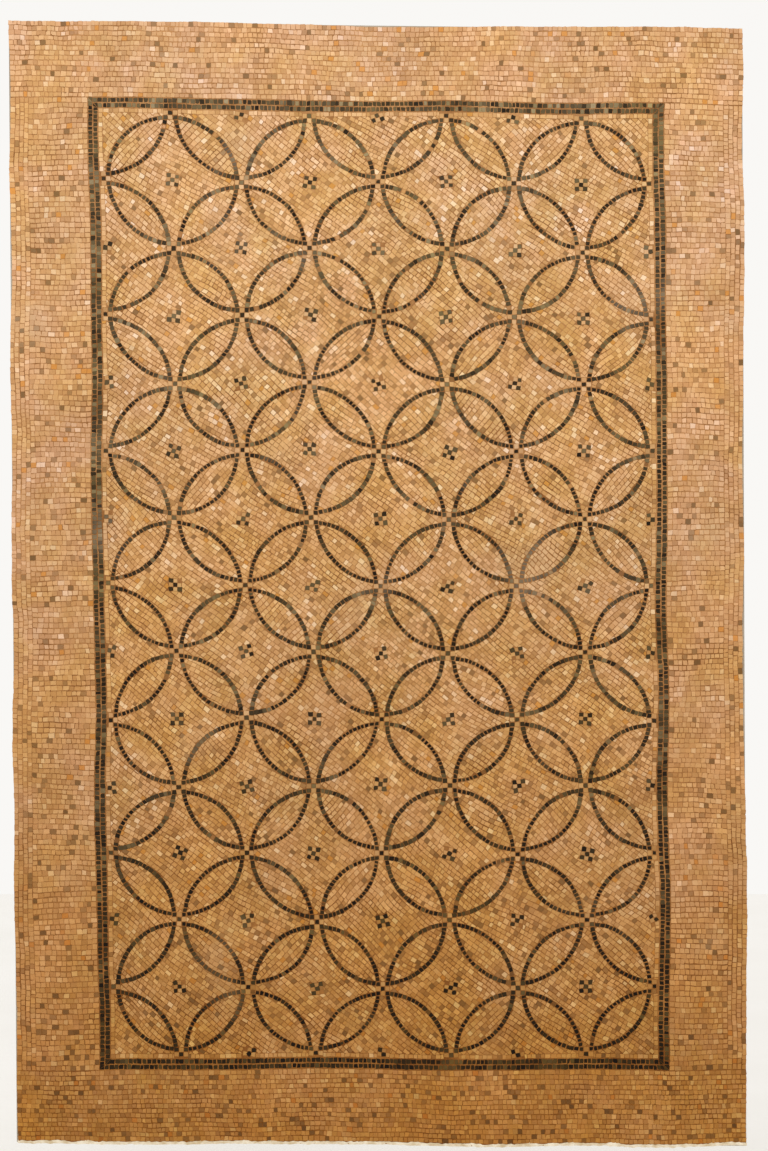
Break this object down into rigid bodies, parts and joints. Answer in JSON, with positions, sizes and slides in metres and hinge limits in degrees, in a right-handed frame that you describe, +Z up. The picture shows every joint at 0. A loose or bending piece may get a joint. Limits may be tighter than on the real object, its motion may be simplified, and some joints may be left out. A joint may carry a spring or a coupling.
{
  "type": "mosaic wall panel",
  "caption": "Flat stone mosaic panel with a plain light surround, a dark frame line and a field of crossing circles that make petal flowers.",
  "frame": {"origin": "middle of the slab's flat back, where it rests on the wall", "axes": "+Z up along the panel, +X to the right as seen from the front, +Y from the face to the wall"},
  "size_m": [1.552, 0.052, 2.366],
  "materials": {
    "mortar": "rough",
    "light_stone": "worn",
    "field_stone": "worn",
    "dark_stone": "worn"
  },
  "bodies": {
    "root": {"backing_slab": "mortar", "field_ground": "field_stone", "flower_row1_1": "dark_stone", "flower_row1_2": "dark_stone", "flower_row1_3": "dark_stone", "flower_row1_4": "dark_stone", "flower_row1_5": "dark_stone", "flower_row2_1": "dark_stone", "flower_row2_2": "dark_stone", "flower_row2_3": "dark_stone", "flower_row2_4": "dark_stone", "flower_row2_5": "dark_stone", "flower_row3_1": "dark_stone", "flower_row3_2": "dark_stone", "flower_row3_3": "dark_stone", "flower_row3_4": "dark_stone", "flower_row3_5": "dark_stone", "flower_row4_1": "dark_stone", "flower_row4_2": "dark_stone", "flower_row4_3": "dark_stone", "flower_row4_4": "dark_stone", "flower_row4_5": "dark_stone", "flower_row5_1": "dark_stone", "flower_row5_2": "dark_stone", "flower_row5_3": "dark_stone", "flower_row5_4": "dark_stone", "flower_row5_5": "dark_stone", "flower_row6_1": "dark_stone", "flower_row6_2": "dark_stone", "flower_row6_3": "dark_stone", "flower_row6_4": "dark_stone", "flower_row6_5": "dark_stone", "flower_row7_1": "dark_stone", "flower_row7_2": "dark_stone", "flower_row7_3": "dark_stone", "flower_row7_4": "dark_stone", "flower_row7_5": "dark_stone", "frame_inner_bottom": "dark_stone", "frame_inner_left": "dark_stone", "frame_inner_right": "dark_stone", "frame_inner_top": "dark_stone", "frame_outer_bottom": "dark_stone", "frame_outer_left": "dark_stone", "frame_outer_right": "dark_stone", "frame_outer_top": "dark_stone", "surround_bottom": "light_stone", "surround_left": "light_stone", "surround_right": "light_stone", "surround_top": "light_stone"}
  },
  "joints": []
}
